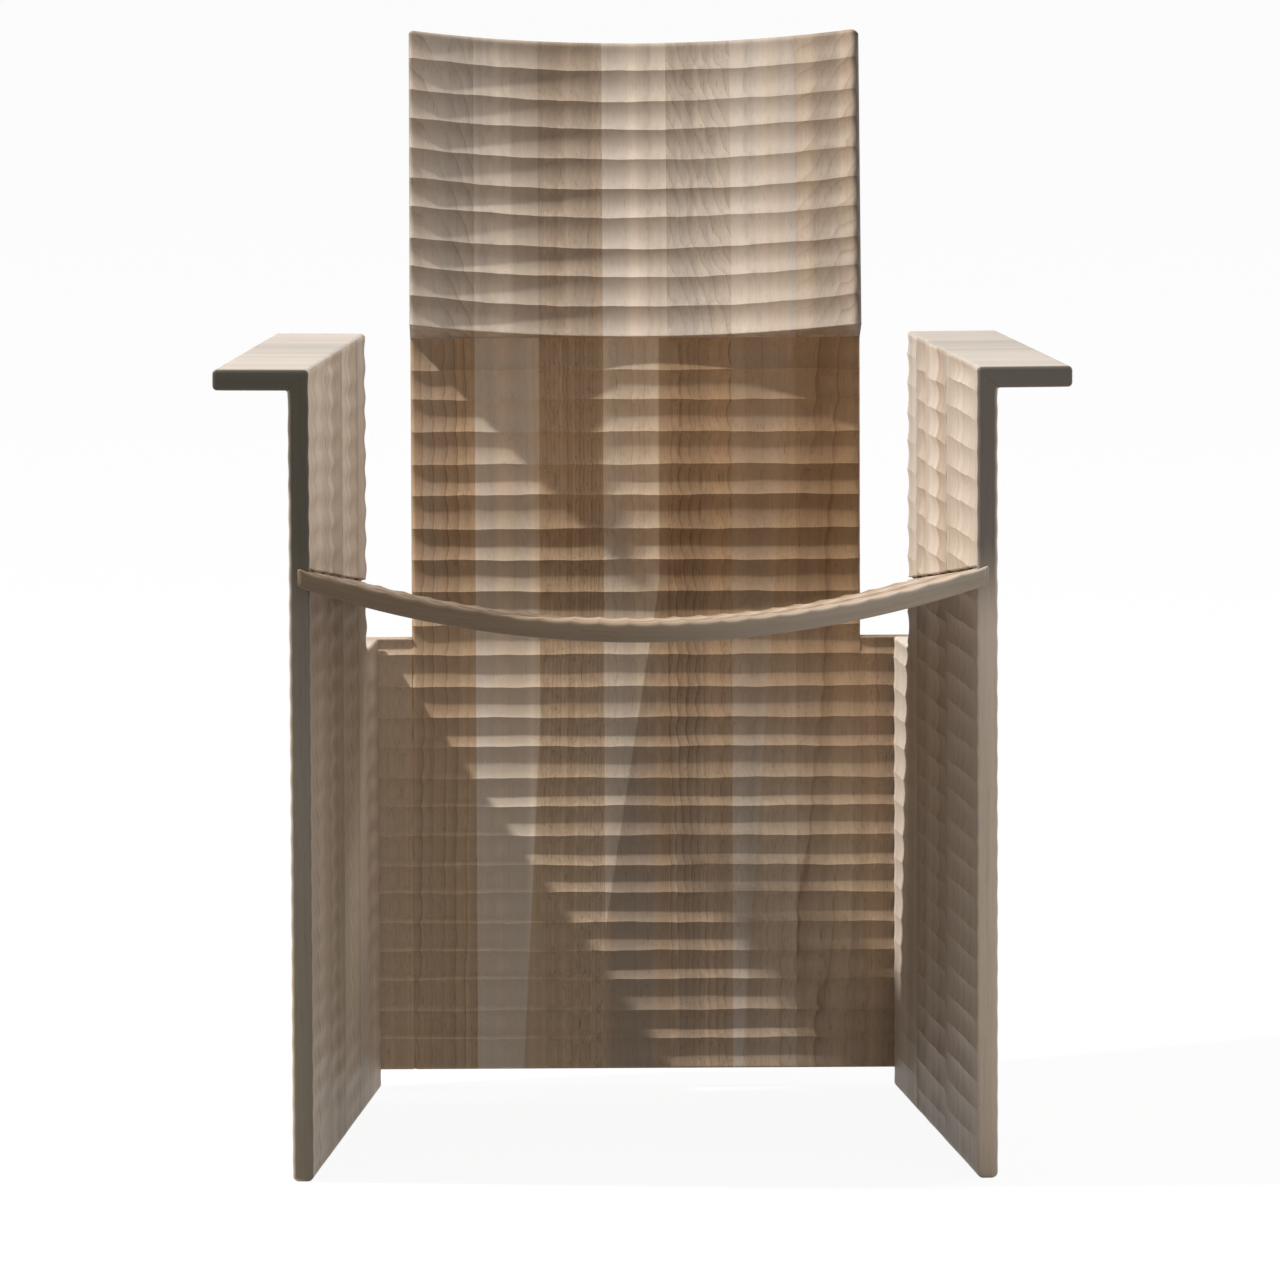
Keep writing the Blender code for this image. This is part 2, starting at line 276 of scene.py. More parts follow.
def end_of(limit, across):
    """Places of a face's end across it. The end is one value, or a function of the place across."""
    return limit(across) if callable(limit) else np.full_like(across, limit)


@dataclass
class Face:
    """One broad face of a board, and the radii of its edges.

    base is the face's level, and ends are the board's ends along it. A radius below zero is a fillet that
    adds wood. groove is one more cut. dark says which side edges get painted shade, dark_turn how far such an
    edge has turned where that starts and is full, and dark_fade its share along the board. side_fade is the
    share of the side edges' rounding along the board. A straight edge stays straight where rows run out over
    it.
    """

    rows: Rows
    base: object
    ends: tuple
    left: float = 0.0
    right: float = 0.0
    low: float = 0.0
    high: float = 0.0
    groove: object = None
    dark: tuple = (0.0, 0.0)
    dark_turn: tuple = (0.55, 1.0)
    dark_fade: object = None
    side_fade: object = None
    straight_edge: bool = False


def turned(distance, radius):
    """How far a rounded edge has turned at a distance from it: 0 on the flat and 1 at the edge itself."""
    if not radius:
        return np.zeros_like(distance)
    return np.clip(1.0 - distance / abs(radius), 0.0, 1.0)


def fall(turn, radius):
    """How far a rounded edge has dropped below the face."""
    return radius * (1.0 - np.sqrt(1.0 - turn**2))


def face_grid(face, xs, across, stations):
    """Places of a face's grid as x, y and height, with the rubbing and painted highlight and the painted edge
    shade at each.
    """
    dark_start, dark_end = face.dark_turn
    lines = []
    for row, share in stations:
        lower = face.rows.ridge(row, across)
        upper = face.rows.ridge(row + 1, across)
        y = lower + (upper - lower) * share
        bowl = face.rows.bowl(share)
        cut = face.rows.hollow(row, across) * bowl
        if face.groove:
            cut = cut + face.groove(across, y)
        low = turned(y - end_of(face.ends[0], across), face.low)
        high = turned(end_of(face.ends[1], across) - y, face.high)
        lean = high * np.sign(face.high) - low * np.sign(face.low)
        height = face.base(across, y) - cut - fall(low, face.low) - fall(high, face.high)
        ended = max(low.max(), high.max())
        more = face.rows.depth * (1.0 - bowl) * (1.0 - ended) if face.straight_edge else 0.0
        fade = face.side_fade(y) if face.side_fade else 1.0
        left_radius = face.left and face.left + more
        right_radius = face.right and face.right + more
        left = turned(xs - xs[0], left_radius) * fade
        right = turned(xs[-1] - xs, right_radius) * fade
        drop = fall(left, left_radius) + fall(right, right_radius)
        along = np.minimum(drop, np.where(high > 0.0, abs(face.high), abs(face.low))) * lean
        drop = np.sqrt(drop**2 - along**2)
        # Rubbing on ridges and rounded edges, partly wear and partly a painted highlight
        on_ridge = RIDGE_WEAR_AND_HIGHLIGHT if share in (0.0, 1.0) and not face.rows.soft else 0.0
        edge = np.maximum(np.maximum(left, right), np.maximum(low, high))
        wear_and_highlight = np.where(edge > 0.0, np.sin(math.pi * edge), on_ridge)
        # Painted shade on the side edges that dark picks out
        dark = face.dark[0] * left + face.dark[1] * right
        painted_shade = np.clip((dark - dark_start) / (dark_end - dark_start), 0.0, 1.0)
        if face.dark_fade:
            painted_shade = painted_shade * face.dark_fade(y)
        lines.append((xs, y - along, height - drop, wear_and_highlight, painted_shade))
    return np.array(lines)


def stations_of(rows, low_steps, high_steps, extra=(), middle=0.0):
    """Rows and shares at which a face has a line of places, closer together at its rounded ends.

    extra gives more places along the face, as they are at a middle place across it.
    """
    pitch = rows.length() / rows.count
    middle = np.array([middle])
    stations = []
    for row in range(rows.count):
        shares = list(ROW_STEPS)
        lower = rows.ridge(row, middle)[0]
        upper = rows.ridge(row + 1, middle)[0]
        more = [(place - lower) / (upper - lower) for place in extra]
        more = [share for share in more if RIDGE_CLEAR < share < 1.0 - RIDGE_CLEAR]
        shares = [share for share in shares
                  if not share or all(abs(share - other) > PLACE_CLEAR for other in more)]
        shares += more
        if row == 0:
            shares = [share for share in shares if share * pitch > low_steps[-1]]
            shares += [step / pitch for step in low_steps]
        if row == rows.count - 1:
            shares = [share for share in shares if (1.0 - share) * pitch > high_steps[-1]]
            shares += [1.0 - step / pitch for step in high_steps if step]
        stations += [(row, share) for share in sorted(shares)]
    stations.append((rows.count - 1, 1.0))
    return stations


def steps_across(width, left, right):
    """Places across a board from its left edge, closer together at a rounded edge."""
    flat = width - right - left
    count = max(1, round(flat / ACROSS_STEP))
    places = [left + flat * index / count for index in range(count + 1)]
    places += [left * step for step in ROUND_STEPS[:-1] if left]
    places += [width - right * step for step in ROUND_STEPS[:-1] if right]
    return np.array(sorted(places))


def in_frame(place):
    """A place of the chair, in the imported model's frame."""
    return Vector(place) + Vector((0.0, CHAIR_SHIFT, 0.0))


def placed(across, up, origin):
    """The matrix of a frame at a place of the chair, whose x axis is across and whose y axis is up."""
    across = Vector(across)
    up = Vector(up)
    turn = Matrix((across, up, across.cross(up))).transposed()
    return Matrix.Translation(in_frame(origin)) @ turn.to_4x4()


def sharp_lines(face, stations):
    """Lines of a face's grid that stay crisp: its ridges, and its ends where they aren't rounded."""
    crisp = []
    if not face.rows.soft:
        crisp += [line for line, (row, share) in enumerate(stations) if share == 0.0 and line > 0]
    if face.low <= 0.0 or face.ends[0] != face.rows.low:
        crisp.append(0)
    if face.high <= 0.0 or face.ends[1] != face.rows.high:
        crisp.append(len(stations) - 1)
    return crisp


def crisp_edges(faces, stations, columns):
    """Edges of a board's two grids that stay crisp, each from one side, line and column to another."""
    lines = len(stations)
    crisp = []
    for side, face in enumerate(faces):
        for line in sharp_lines(face, stations):
            crisp += [((side, line, column), (side, line, column + 1)) for column in range(columns - 1)]
        for column, radius in ((0, face.left), (columns - 1, face.right)):
            if not radius:
                crisp += [((side, line, column), (side, line + 1, column)) for line in range(lines - 1)]
    front, back = (set(sharp_lines(face, stations)) for face in faces)
    ends = front & back & {0, lines - 1}
    return crisp + [((0, line, column), (1, line, column)) for line in ends for column in (0, columns - 1)]


def even_grids(face, width, middle, direction):
    """Places of both faces of a board of even width: in x, and across the panel along x or against it."""
    xs = steps_across(width, face.left, face.right) - width / 2
    return [(xs, middle + direction * xs)] * 2


def board_mesh(name, faces, grids, stations):
    """Closed mesh of a board from its two faces, and the places in x and across the panel of each."""
    front, back = (face_grid(face, *grid, stations) for face, grid in zip(faces, grids))
    back[:, 2] *= -1.0
    lines = len(stations)
    columns = front.shape[2]
    points = np.concatenate([places.transpose(0, 2, 1).reshape(-1, 5) for places in (front, back)])

    def spot(side, line, column):
        return side * lines * columns + line * columns + column

    quads = []
    for line in range(lines - 1):
        for column in range(columns - 1):
            corners = ((line, column), (line, column + 1), (line + 1, column + 1), (line + 1, column))
            quads.append([spot(0, *corner) for corner in corners])
            quads.append([spot(1, *corner) for corner in reversed(corners)])
    rim = [(0, column) for column in range(columns)]
    rim += [(line, columns - 1) for line in range(1, lines)]
    rim += [(lines - 1, column) for column in range(columns - 2, -1, -1)]
    rim += [(line, 0) for line in range(lines - 2, 0, -1)]
    for here, there in zip(rim, rim[1:] + rim[:1]):
        quads.append([spot(1, *here), spot(1, *there), spot(0, *there), spot(0, *here)])

    mesh = bpy.data.meshes.new(name)
    mesh.from_pydata(points[:, :3].tolist(), [], quads)
    # The rubbing with its painted highlight, and the painted edge shade, are kept on the points
    for column, label in ((3, "wear_and_highlight"), (4, "painted_edge_shade")):
        values = mesh.attributes.new(label, "FLOAT", "POINT")
        values.data.foreach_set("value", points[:, column].astype(np.float32))
    shape = bmesh.new()
    shape.from_mesh(mesh)
    shape.verts.ensure_lookup_table()
    for here, there in crisp_edges(faces, stations, columns):
        edge = shape.edges.get((shape.verts[spot(*here)], shape.verts[spot(*there)]))
        edge.smooth = False
    bmesh.ops.remove_doubles(shape, verts=shape.verts, dist=WELD)
    bmesh.ops.dissolve_degenerate(shape, edges=shape.edges, dist=LEAST_EDGE)
    bmesh.ops.recalc_face_normals(shape, faces=shape.faces)
    for quad in shape.faces:
        quad.smooth = True
    shape.to_mesh(mesh)
    shape.free()
    return mesh


def add_object(name, data):
    item = bpy.data.objects.new(name, data)
    bpy.context.scene.collection.objects.link(item)
    return item


def add_stave(node, mesh, matrix, material):
    """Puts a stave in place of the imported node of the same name."""
    stave = add_object(f"{node}_carved", mesh)
    stave.matrix_world = matrix
    mesh.materials.append(material)
    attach(stave, "root")
    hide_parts(node)


# Wood

TONES = {
    "pale": (0.58, 0.470, 0.370),
    "cream": (0.54, 0.418, 0.302),
    "tan": (0.50, 0.385, 0.285),
    "fawn": (0.42, 0.310, 0.212),
    "brown": (0.39, 0.265, 0.160),
    "umber": (0.35, 0.232, 0.136),
    "dark": (0.315, 0.202, 0.114),
    "bleached": (0.56, 0.495, 0.430),
}
HEAD_TONE = (0.50, 0.420, 0.345)

# Painted shade that makes the chair's front edges darker than its faces, its share below the seat,
# where the edges are painted lighter, and the height over which it changes
PAINTED_EDGE_SHADES = {"left": (0.042, 0.037, 0.024), "right": (0.115, 0.097, 0.083)}
LOW_EDGE_PAINTED_SHADE = {"left": 0.78, "right": 0.06}
PAINTED_SHADE_FADE = 0.06

# How far a rounded edge has turned where its painted shade starts and where it is full
INNER_PAINTED_SHADE = {"left": (0.0, 0.35), "right": (0.0, 0.30)}
ARM_PAINTED_SHADE = (0.0, 0.5)
OUTER_PAINTED_SHADE = (0.85, 1.0)
HEAD_PAINTED_SHADE = (0.25, 0.60)
SEAT_PAINTED_SHADE = (0.0, 0.2)

# Scales of the wood's features across the grain, along it and into the board
DRIFT_SCALE = (8.0, 2.0, 8.0)
CURL_SCALE = (30.0, 13.0, 30.0)
RING_SCALE = (22.0, 0.9, 22.0)
RING_FADE_SCALE = (24.0, 1.6, 24.0)
BAND_SCALE = (52.0, 0.45, 52.0)
STREAK_SCALE = (165.0, 1.2, 165.0)
FIBRE_SCALE = (480.0, 4.5, 480.0)
PORE_SCALE = (950.0, 48.0, 950.0)
VEIL_SCALE = (24.0, 1.4, 24.0)
RUB_SCALE = (60.0, 60.0, 60.0)

# How far the grain wanders, and the tints of late wood, fibres and pores
GRAIN_REACH = 0.016
LATE_TINT = (0.50, 0.40, 0.32)
FIBRE_TINT = (0.56, 0.47, 0.39)
PORE_TINT = (0.44, 0.35, 0.28)

# How far the woods of two seeds lie apart
SEED_STEP = (0.37, 1.31, 0.73)


@dataclass
class Wood:
    """How one stave's wood looks: its tone, how its growth rings lie and how much figure it shows.

    pith is the place of the tree's middle across the stave and behind its face, and lean is the slope of the
    tree's axis against the stave. rings is the width of a year. sap is the tone of a lighter or darker part,
    with the place across the stave where it starts, the slope of that line along the stave and the side it
    lies on. sap_soft is half the width of its border, and above sap_top the border runs straight up. knot is
    a place on the face and the reach of the eye round it. bend is the curve of the grain with the board.
    blend is another tone and how far the tone goes towards it. grain and bands are how strongly fibres and
    broad bands show. along is a tint, after the two places along the stave between which it sets in and its
    strength; it carries the painted light and painted shade on the boards' lower parts and on the seat's
    front slat. veil is how far the stave has greyed in patches. edge is the tone of its painted edge shade,
    and edge_depth how far the painted shade takes it.
    """

    tone: str
    pith: tuple = (0.02, -0.16)
    lean: tuple = (0.01, 0.02)
    rings: float = 0.0045
    figure: float = 0.3
    ring_depth: float = 0.45
    light: float = 1.0
    sap: tuple = ()
    sap_soft: float = 0.001
    sap_top: float = 1.0
    knot: tuple = ()
    bend: float = 0.0
    blend: tuple = ()
    grain: float = 1.0
    along: tuple = ()
    bands: float = 1.0
    veil: float = 0.35
    edge: tuple = PAINTED_EDGE_SHADES["right"]
    edge_depth: float = 0.9

    def colour(self, tone):
        goal, share = self.blend or (TONES[tone], 0.0)
        return tuple(self.light * (here + (there - here) * share) for here, there in zip(TONES[tone], goal))


class Nodes:
    """Short ways to add and link the nodes of a material, the world or a lamp."""

    def __init__(self, owner):
        owner.use_nodes = True
        self.owner = owner
        self.tree = owner.node_tree

    def named(self, name):
        return self.tree.nodes[name]

    def add(self, kind, inputs=(), **settings):
        node = self.tree.nodes.new(kind)
        for key, value in settings.items():
            setattr(node, key, value)
        for key, value in dict(inputs).items():
            self.feed(node.inputs[key], value)
        return node

    def feed(self, socket, value):
        if isinstance(value, bpy.types.NodeSocket):
            self.tree.links.new(value, socket)
        else:
            socket.default_value = value

    def math(self, operation, first, second):
        return self.add("ShaderNodeMath", {0: first, 1: second}, operation=operation).outputs[0]

    def vector(self, operation, first, second):
        return self.add("ShaderNodeVectorMath", {0: first, 1: second}, operation=operation).outputs[0]

    def length(self, vector, scale):
        scaled = self.vector("MULTIPLY", vector, scale)
        return self.add("ShaderNodeVectorMath", {0: scaled}, operation="LENGTH").outputs["Value"]

    def dot(self, vector, axis):
        product = self.add("ShaderNodeVectorMath", {0: vector, 1: axis}, operation="DOT_PRODUCT")
        return product.outputs["Value"]

    def moved(self, vector, offset, turn=(0.0, 0.0, 0.0)):
        inputs = {"Vector": vector, "Location": offset, "Rotation": turn}
        return self.add("ShaderNodeMapping", inputs).outputs[0]

    def noise(self, vector, scale, detail=2.0, roughness=0.5, output="Fac"):
        place = self.add("ShaderNodeMapping", {"Vector": vector, "Scale": scale}).outputs[0]
        inputs = {"Vector": place, "Scale": 1.0, "Detail": detail, "Roughness": roughness}
        return self.add("ShaderNodeTexNoise", inputs).outputs[output]

    def wander(self, vector, scale, detail, reach):
        """A shift across the grain that changes slowly from place to place."""
        noise = self.noise(vector, scale, detail, 0.5, "Color")
        return self.vector("MULTIPLY", self.vector("SUBTRACT", noise, (0.5, 0.5, 0.5)), (reach, 0.0, reach))

    def between(self, value, low, high, to_low=0.0, to_high=1.0):
        inputs = {"Value": value, "From Min": low, "From Max": high, "To Min": to_low, "To Max": to_high}
        return self.add("ShaderNodeMapRange", inputs, interpolation_type="SMOOTHSTEP").outputs[0]

    def mix(self, factor, first, second, blend="MIX"):
        node = self.add("ShaderNodeMix", data_type="RGBA", blend_type=blend)
        self.feed(node.inputs[0], factor)
        self.feed(node.inputs[6], first)
        self.feed(node.inputs[7], second)
        return node.outputs[2]

    def darken(self, colour, mask, strength, tint):
        return self.mix(self.math("MULTIPLY", mask, strength), colour, (*tint, 1.0), "MULTIPLY")


def shade(colour, level):
    """A colour made lighter or darker, ready for a socket."""
    return (*(channel * level for channel in colour), 1.0)


def straightened(nodes, local, bend):
    """Places in a bent board, as they would be if it were straight."""
    if not bend:
        return local
    parts = nodes.add("ShaderNodeSeparateXYZ", {0: local})
    rise = nodes.math("MULTIPLY", nodes.math("MULTIPLY", parts.outputs["Y"], parts.outputs["Y"]), bend)
    height = nodes.math("SUBTRACT", parts.outputs["Z"], rise)
    inputs = {"X": parts.outputs["X"], "Y": parts.outputs["Y"], "Z": height}
    return nodes.add("ShaderNodeCombineXYZ", inputs).outputs[0]


def growth_rings(nodes, wood, body, place):
    """Dark lines at the ends of the years, which bulge round a knot."""
    axis = nodes.moved(body, (-wood.pith[0], 0.0, -wood.pith[1]), (wood.lean[1], 0.0, wood.lean[0]))
    years = nodes.math("DIVIDE", nodes.length(axis, (1.0, 0.0, 1.0)), wood.rings)
    years = nodes.math("ADD", years, nodes.math("MULTIPLY", nodes.noise(place, RING_SCALE, 2.0), 2.0))
    if wood.knot:
        x, y, reach = wood.knot
        distance = nodes.length(nodes.moved(body, (-x, -y, 0.0)), (1.0 / reach, 0.5 / reach, 0.0))
        years = nodes.math("ADD", years, nodes.between(distance, 2.2, 0.0, 0.0, 2.4))
    year = nodes.math("FRACT", years, 0.0)
    slow = nodes.math("MULTIPLY", nodes.between(year, 0.15, 0.92), 0.45)
    thin = nodes.math("MULTIPLY", nodes.between(year, 0.80, 0.94), 0.55)
    late = nodes.math("MULTIPLY", nodes.math("ADD", slow, thin), nodes.between(year, 1.0, 0.95))
    strength = nodes.between(nodes.noise(place, RING_FADE_SCALE, 2.0), 0.34, 0.68, 0.10, 1.0)
    return nodes.math("MULTIPLY", late, nodes.math("MULTIPLY", strength, wood.ring_depth))


def wood_material(name, wood, seed):
    """Solid wood: broad bands, growth rings, streaks, fibres and pores, all running along y."""
    nodes = Nodes(bpy.data.materials.new(name))
    shader = nodes.named("Principled BSDF")
    tone = wood.colour(wood.tone)
    local = straightened(nodes, nodes.add("ShaderNodeTexCoord").outputs["Object"], wood.bend)
    place = nodes.moved(local, [step * seed for step in SEED_STEP])

    # The grain wanders slowly along the stave, and more quickly where the wood is figured
    drift = nodes.wander(place, DRIFT_SCALE, 1.0, GRAIN_REACH)
    curl = nodes.wander(place, CURL_SCALE, 2.0, GRAIN_REACH * wood.figure)
    shift = nodes.vector("ADD", drift, curl)
    grain = nodes.vector("ADD", place, shift)
    body = nodes.vector("ADD", local, shift)

    late = growth_rings(nodes, wood, body, place)
    band = nodes.noise(grain, BAND_SCALE, 2.0, 0.5)
    streak = nodes.noise(grain, STREAK_SCALE, 2.0, 0.55)
    fibre = nodes.between(nodes.noise(grain, FIBRE_SCALE, 3.0, 0.6), 0.45, 0.75)
    pores = nodes.between(nodes.noise(grain, PORE_SCALE, 1.0, 0.5), 0.62, 0.72)

    streak_share = 0.38 * wood.grain
    tint = nodes.math("MULTIPLY", band, 1.0 - streak_share)
    tint = nodes.math("ADD", tint, nodes.math("MULTIPLY", streak, streak_share))
    tint = nodes.between(tint, 0.36, 0.64)
    colour = nodes.mix(tint, shade(tone, 1.0 - 0.20 * wood.bands), shade(tone, 1.0 + 0.16 * wood.bands))
    if wood.sap:
        sap_tone, sap_edge, sap_slope, sap_side = wood.sap
        parts = nodes.add("ShaderNodeSeparateXYZ", {0: local})
        line = nodes.math("MULTIPLY", nodes.math("MINIMUM", parts.outputs["Y"], wood.sap_top), sap_slope)
        across = nodes.math("MULTIPLY", nodes.math("SUBTRACT", parts.outputs["X"], line), sap_side)
        middle = sap_edge * sap_side
        share = nodes.between(across, middle - wood.sap_soft, middle + wood.sap_soft)
        sap = wood.colour(sap_tone)
        colour = nodes.mix(share, colour, nodes.mix(tint, shade(sap, 0.90), shade(sap, 1.10)))
    veil = nodes.between(nodes.noise(place, VEIL_SCALE, 2.0), 0.42, 0.72, 0.0, wood.veil)
    grey = sum(tone) / 3 * 1.02
    colour = nodes.mix(veil, colour, (grey * 1.04, grey, grey * 0.95, 1.0))
    colour = nodes.darken(colour, late, 1.0, LATE_TINT)
    colour = nodes.darken(colour, fibre, 0.30 * wood.grain, FIBRE_TINT)
    colour = nodes.darken(colour, pores, 0.45 * wood.grain, PORE_TINT)

    # Edges and ridges are rubbed a little lighter and smoother: wear, and a painted highlight along them
    wear_and_highlight = nodes.add("ShaderNodeAttribute", attribute_name="wear_and_highlight").outputs["Fac"]
    rubbed = nodes.between(nodes.noise(place, RUB_SCALE, 2.0), 0.35, 0.65, 0.06, 0.28)
    rubbed = nodes.math("MULTIPLY", wear_and_highlight, rubbed)
    colour = nodes.mix(rubbed, colour, shade(tone, 1.3))
    # Painted shade darkens the chair's front edges and the headrest's right edge
    painted_shade = nodes.add("ShaderNodeAttribute", attribute_name="painted_edge_shade").outputs["Fac"]
    colour = nodes.mix(nodes.math("MULTIPLY", painted_shade, wood.edge_depth), colour, (*wood.edge, 1.0))
    # Painted light and shade along the stave, on the lower parts of the boards and on the seat's front slat
    if wood.along:
        start, end, strength, tint = wood.along
        share = nodes.between(nodes.dot(local, (0.0, 1.0, 0.0)), start, end, 0.0, strength)
        colour = nodes.mix(share, colour, (*tint, 1.0), "MULTIPLY")
    nodes.feed(shader.inputs["Base Color"], colour)

    rough = nodes.between(fibre, 0.0, 1.0, 0.54, 0.68)
    rough = nodes.math("SUBTRACT", rough, nodes.math("MULTIPLY", rubbed, 0.2))
    nodes.feed(shader.inputs["Roughness"], rough)
    shader.inputs["Specular IOR Level"].default_value = 0.3
    relief = nodes.math("ADD", nodes.math("MULTIPLY", fibre, 0.5), nodes.math("ADD", pores, late))
    bump = nodes.add("ShaderNodeBump", {"Height": relief, "Strength": 0.22, "Distance": 0.0004}, invert=True)
    nodes.feed(shader.inputs["Normal"], bump.outputs[0])
    return nodes.owner


# Heights between which the lower part of the back board and of the side panels takes its own tint: painted
# light, paler and greyer on the back board and paler on the left panel, and painted shade on the right panel
BACK_PAINTED_LIGHT = (0.44, 0.20)
SIDE_PAINTED_FOOT = (0.46, 0.32)
PAINTED_LIGHT_TINT = (1.10, 1.20, 1.34)
GREYER_PAINTED_LIGHT = (1.14, 1.30, 1.58)
GREYEST_PAINTED_LIGHT = (1.24, 1.48, 1.90)
SIDE_PAINTED_FEET = {"left": (*SIDE_PAINTED_FOOT, 1.0, (1.19, 1.18, 1.12)), "right": (*SIDE_PAINTED_FOOT, 1.0, (0.86, 0.85, 0.82))}

# Tones that staves are blended with
RUSSET = ((0.28, 0.155, 0.065), 0.32)
PALER = (HEAD_TONE, 0.60)
WHITENED = (TONES["bleached"], 0.48)


def painted_foot_light(strength, tint=PAINTED_LIGHT_TINT):
    """Painted light: the lower part of the back board is paler and greyer."""
    return (*BACK_PAINTED_LIGHT, strength, tint)


BACK_WOODS = (
    Wood("brown", pith=(-0.20, -0.07), rings=0.0105, figure=0.45, ring_depth=0.95, along=painted_foot_light(0.8), veil=0.25,
         bands=0.7, grain=0.7, light=1.08),
    Wood("cream", pith=(0.10, -0.20), rings=0.0090, figure=0.10, ring_depth=0.06, grain=0.45, along=painted_foot_light(0.9),
         bands=0.7, sap=("brown", 0.0110, 0.0511, 1.0)),
    Wood("brown", pith=(0.20, -0.04), rings=0.0036, figure=0.12, ring_depth=0.50, along=painted_foot_light(0.9), veil=0.10,
         grain=1.3),
    Wood("umber", pith=(-0.16, -0.10), rings=0.0095, figure=0.15, ring_depth=0.22, along=painted_foot_light(0.3), grain=0.7,
         bands=0.8, sap=("cream", -0.0488, 0.1585, -1.0), sap_top=0.434),
    Wood("dark", pith=(0.16, -0.07), rings=0.0062, figure=0.55, ring_depth=0.80, lean=(-0.05, 0.04),
         along=painted_foot_light(0.9, GREYER_PAINTED_LIGHT), veil=0.1, light=1.01),
    Wood("brown", pith=(0.14, -0.09), rings=0.0130, figure=0.30, ring_depth=0.35, light=0.93, veil=0.1,
         along=painted_foot_light(1.0, GREYEST_PAINTED_LIGHT), blend=RUSSET, grain=0.8, bands=0.7, knot=(0.0187, 0.4986, 0.007),
         sap=("fawn", -0.0212, 0.071, -1.0)),
    Wood("dark", pith=(0.20, -0.08), rings=0.0190, figure=0.60, ring_depth=0.80, lean=(0.06, 0.03),
         along=painted_foot_light(1.0, GREYEST_PAINTED_LIGHT), blend=RUSSET, light=0.99, veil=0.1, grain=0.8, bands=0.8),
)
BACK_SLOTS = ("brown_wood", "pale_wood", "dark_wood", "pale_wood", "dark_wood", "tan_wood", "brown_wood")
WING_WOODS = {
    "left": Wood("fawn", pith=(0.30, -0.02), ring_depth=0.20, figure=0.10, grain=0.7, bands=0.4, light=1.19,
                 veil=0.1),
    "right": Wood("dark", pith=(-0.20, -0.05), rings=0.012, ring_depth=0.30, along=painted_foot_light(1.0), veil=0.1),
}
HEAD_WOODS = (
    Wood("tan", pith=(-0.20, -0.06), lean=(-0.34, 0.05), rings=0.0120, figure=0.50, ring_depth=0.62,
         blend=PALER, grain=0.5, bands=0.8, light=0.78),
    Wood("pale", pith=(0.20, -0.20), rings=0.0140, figure=0.10, ring_depth=0.08, blend=PALER, grain=0.4,
         light=0.87, sap=("brown", 0.012, 0.0, 1.0), sap_soft=0.012),
    Wood("brown", pith=(0.25, -0.04), lean=(0.16, 0.02), rings=0.0058, figure=0.30, ring_depth=0.50,
         blend=(HEAD_TONE, 0.45), grain=0.8, light=0.84),
    Wood("pale", pith=(-0.22, -0.15), rings=0.0140, figure=0.15, ring_depth=0.10, blend=PALER, light=0.97,
         grain=0.4, sap=("tan", -0.008, 0.0, -1.0), sap_soft=0.012),
    Wood("tan", pith=(0.26, -0.08), lean=(-0.34, 0.06), rings=0.0088, figure=1.80, ring_depth=0.36,
         blend=PALER, light=0.84, grain=0.7),
    Wood("pale", pith=(0.22, -0.12), rings=0.0120, figure=0.30, ring_depth=0.25, blend=PALER, grain=0.4,
         light=0.91, sap=("brown", 0.008, 0.0, 1.0), sap_soft=0.014, knot=(0.011, 0.066, 0.007)),
    Wood("brown", pith=(0.20, -0.10), lean=(0.48, 0.10), rings=0.0105, figure=0.60, ring_depth=0.55,
         blend=(HEAD_TONE, 0.50), grain=0.6, light=0.85),
)
SIDE_WOODS = tuple(
    Wood(tone, ring_depth=ring_depth, figure=figure, blend=WHITENED, grain=0.4, bands=bands, light=light)
    for tone, ring_depth, figure, bands, light in (
        ("tan", 0.12, 0.3, 0.55, 1.0),
        ("pale", 0.10, 0.3, 0.55, 1.0),
        ("tan", 0.15, 0.5, 0.65, 1.03),
        ("brown", 0.15, 0.3, 0.65, 0.93),
        ("pale", 0.10, 0.3, 0.55, 1.03),
        ("tan", 0.15, 0.6, 0.65, 0.92),
        ("pale", 0.12, 0.3, 0.55, 1.0),
    )
)
REAR_WOODS = {
    "left": Wood("tan", ring_depth=0.12, blend=(TONES["bleached"], 0.25), grain=0.4, bands=0.55, light=1.1),
    "right": Wood("pale", ring_depth=0.12, blend=WHITENED, grain=0.4, bands=0.55, light=1.12),
}
ARM_WOODS = tuple(
    Wood("pale", ring_depth=0.06, figure=0.15, blend=(TONES["bleached"], 0.8), grain=0.15, bands=0.35,
         veil=0.6, light=light)
    for light in (0.90, 0.94, 0.90, 0.80, 0.76, 0.86, 0.84)
)
SEAT_BEND = SEAT_SAG / (SIDE_HALF_WIDTH**2 + SEAT_SAG**2)
# The seat's front slat: painted shade on its front edge, and painted light that makes its right end much
# paler
SEAT_FRONT_WOOD = Wood(
    "brown", pith=(0.05, -0.08), ring_depth=0.4, figure=0.25, bend=SEAT_BEND, grain=0.9, light=0.77,
    edge=(0.120, 0.090, 0.060), edge_depth=0.7, along=(-0.06, 0.25, 1.0, (2.08, 2.39, 2.83)),
)
SEAT_WOODS = (SEAT_FRONT_WOOD, *(
    Wood(tone, ring_depth=ring_depth, bend=SEAT_BEND)
    for tone, ring_depth in (
        ("tan", 0.4), ("brown", 0.5), ("tan", 0.4), ("pale", 0.3), ("tan", 0.5), ("brown", 0.5),
    )
))


# Side panels and arms


def outwards_of(sign):
    return Vector((sign * math.cos(SIDE_TOE_IN), math.sin(SIDE_TOE_IN), 0.0))


